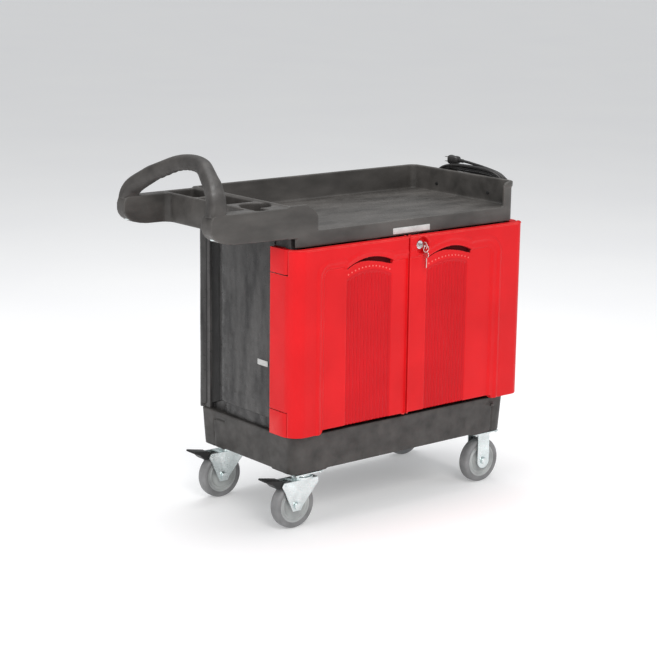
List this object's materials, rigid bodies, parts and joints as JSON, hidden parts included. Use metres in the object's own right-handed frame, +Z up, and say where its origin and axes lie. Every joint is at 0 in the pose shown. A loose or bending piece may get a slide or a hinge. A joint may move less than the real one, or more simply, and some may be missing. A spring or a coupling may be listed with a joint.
{
  "type": "housekeeping cart",
  "caption": "Two-door utility cart with a lipped top tray, a console with bins and a cup hole, an arched push handle, a locking cabinet, a corded outlet and rolling casters.",
  "frame": {"origin": "centre of the overall plan, at floor level under the wheels", "axes": "+X from the push handle towards the far end; +Y from the doors towards the rear; +Z up"},
  "size_m": [1.0997, 0.4665, 0.984],
  "materials": {
    "black_plastic": "moulded, fine grain",
    "red_plastic": "moulded, orange peel",
    "pedal_plastic": "satin",
    "outlet_plastic": "satin",
    "outlet_insert": "satin",
    "cord_rubber": "matt",
    "grey_tyre": "matt",
    "grey_hub": "satin",
    "zinc_steel": "bright zinc plate",
    "lock_chrome": "polished",
    "key_nickel": "nickel plate",
    "blade_brass": "bright"
  },
  "bodies": {
    "cart": {"axle_front_rigid": "zinc_steel", "axle_rear_rigid": "zinc_steel", "base_shelf": "black_plastic", "caster_bolts": "zinc_steel", "caster_plate_front_swivel": "zinc_steel", "caster_plate_rear_swivel": "zinc_steel", "cord_coil": "cord_rubber", "cord_hooks": "black_plastic", "cord_lead": "cord_rubber", "door_catches": "black_plastic", "handle_bolts": "zinc_steel", "hinge_block_left_lower": "red_plastic", "hinge_block_left_upper": "red_plastic", "hinge_block_right_lower": "red_plastic", "hinge_block_right_upper": "red_plastic", "hinge_pins_left": "zinc_steel", "hinge_pins_right": "zinc_steel", "hook_screws": "zinc_steel", "kingpin_front_swivel": "zinc_steel", "kingpin_rear_swivel": "zinc_steel", "left_end_panel": "black_plastic", "lock_keeper": "zinc_steel", "outlet_box": "outlet_plastic", "outlet_inserts": "outlet_insert", "panel_screws": "zinc_steel", "plug_blades": "blade_brass", "plug_body": "cord_rubber", "push_handle": "black_plastic", "rear_panel": "black_plastic", "right_end_panel": "black_plastic", "rigid_fork_front_rigid": "zinc_steel", "rigid_fork_rear_rigid": "zinc_steel", "strain_relief": "cord_rubber", "top_tray": "black_plastic"},
    "door_left": {"door_left": "red_plastic", "catch_plate_left": "zinc_steel"},
    "door_right": {"door_right": "red_plastic", "catch_plate_right": "zinc_steel", "lock_body": "lock_chrome", "lock_nut": "zinc_steel"},
    "lock": {"lock_plug": "lock_chrome", "lock_cam": "zinc_steel", "key_in_lock": "key_nickel"},
    "hanging_key": {"key_ring": "key_nickel", "spare_key": "key_nickel"},
    "front_swivel": {"fork_front_swivel": "zinc_steel", "axle_front_swivel": "zinc_steel"},
    "front_swivel_wheel": {"hub_front_swivel": "grey_hub", "tyre_front_swivel": "grey_tyre"},
    "front_brake": {"brake_pedal_front_swivel": "pedal_plastic"},
    "front_rigid_wheel": {"hub_front_rigid": "grey_hub", "tyre_front_rigid": "grey_tyre"},
    "rear_swivel": {"fork_rear_swivel": "zinc_steel", "axle_rear_swivel": "zinc_steel"},
    "rear_swivel_wheel": {"hub_rear_swivel": "grey_hub", "tyre_rear_swivel": "grey_tyre"},
    "rear_brake": {"brake_pedal_rear_swivel": "pedal_plastic"},
    "rear_rigid_wheel": {"hub_rear_rigid": "grey_hub", "tyre_rear_rigid": "grey_tyre"},
    "rocker": {"rocker_switch": "outlet_insert"}
  },
  "joints": [
    {"name": "door_left_hinge", "type": "hinge", "parent": "cart", "child": "door_left", "pos_m": [-0.2926, -0.11825, 0.5], "axis": [0, 0, -1], "range_deg": [0, 140]},
    {"name": "door_right_hinge", "type": "hinge", "parent": "cart", "child": "door_right", "pos_m": [0.4934, -0.11825, 0.5], "axis": [0, 0, 1], "range_deg": [0, 140]},
    {"name": "lock_turn", "type": "hinge", "parent": "door_right", "child": "lock", "pos_m": [0.1339, -0.19425, 0.724], "axis": [0, -1, 0], "range_deg": [0, 90]},
    {"name": "hanging_key_swing", "type": "hinge", "parent": "lock", "child": "hanging_key", "pos_m": [0.1339, -0.22275, 0.7254], "axis": [-1, 0, 0], "range_deg": [-3, 70]},
    {"name": "rocker_tilt", "type": "hinge", "parent": "cart", "child": "rocker", "pos_m": [0.5174, 0.07175, 0.595], "axis": [0, 1, 0], "range_deg": [-5, 5]},
    {"name": "front_swivel_turn", "type": "hinge", "parent": "cart", "child": "front_swivel", "pos_m": [-0.2216, -0.14925, 0.15], "axis": [0, 0, 1], "continuous": true},
    {"name": "front_swivel_wheel_spin", "type": "hinge", "parent": "front_swivel", "child": "front_swivel_wheel", "pos_m": [-0.2546, -0.14925, 0.0635], "axis": [0, 1, 0], "continuous": true},
    {"name": "front_brake_press", "type": "hinge", "parent": "front_swivel", "child": "front_brake", "pos_m": [-0.2936, -0.14925, 0.1258], "axis": [0, -1, 0], "range_deg": [0, 9]},
    {"name": "front_rigid_wheel_spin", "type": "hinge", "parent": "cart", "child": "front_rigid_wheel", "pos_m": [0.4214, -0.14925, 0.0635], "axis": [0, 1, 0], "continuous": true},
    {"name": "rear_swivel_turn", "type": "hinge", "parent": "cart", "child": "rear_swivel", "pos_m": [-0.2216, 0.17875, 0.15], "axis": [0, 0, 1], "continuous": true},
    {"name": "rear_swivel_wheel_spin", "type": "hinge", "parent": "rear_swivel", "child": "rear_swivel_wheel", "pos_m": [-0.2546, 0.17875, 0.0635], "axis": [0, 1, 0], "continuous": true},
    {"name": "rear_brake_press", "type": "hinge", "parent": "rear_swivel", "child": "rear_brake", "pos_m": [-0.2936, 0.17875, 0.1258], "axis": [0, -1, 0], "range_deg": [0, 9]},
    {"name": "rear_rigid_wheel_spin", "type": "hinge", "parent": "cart", "child": "rear_rigid_wheel", "pos_m": [0.4214, 0.17875, 0.0635], "axis": [0, 1, 0], "continuous": true}
  ]
}
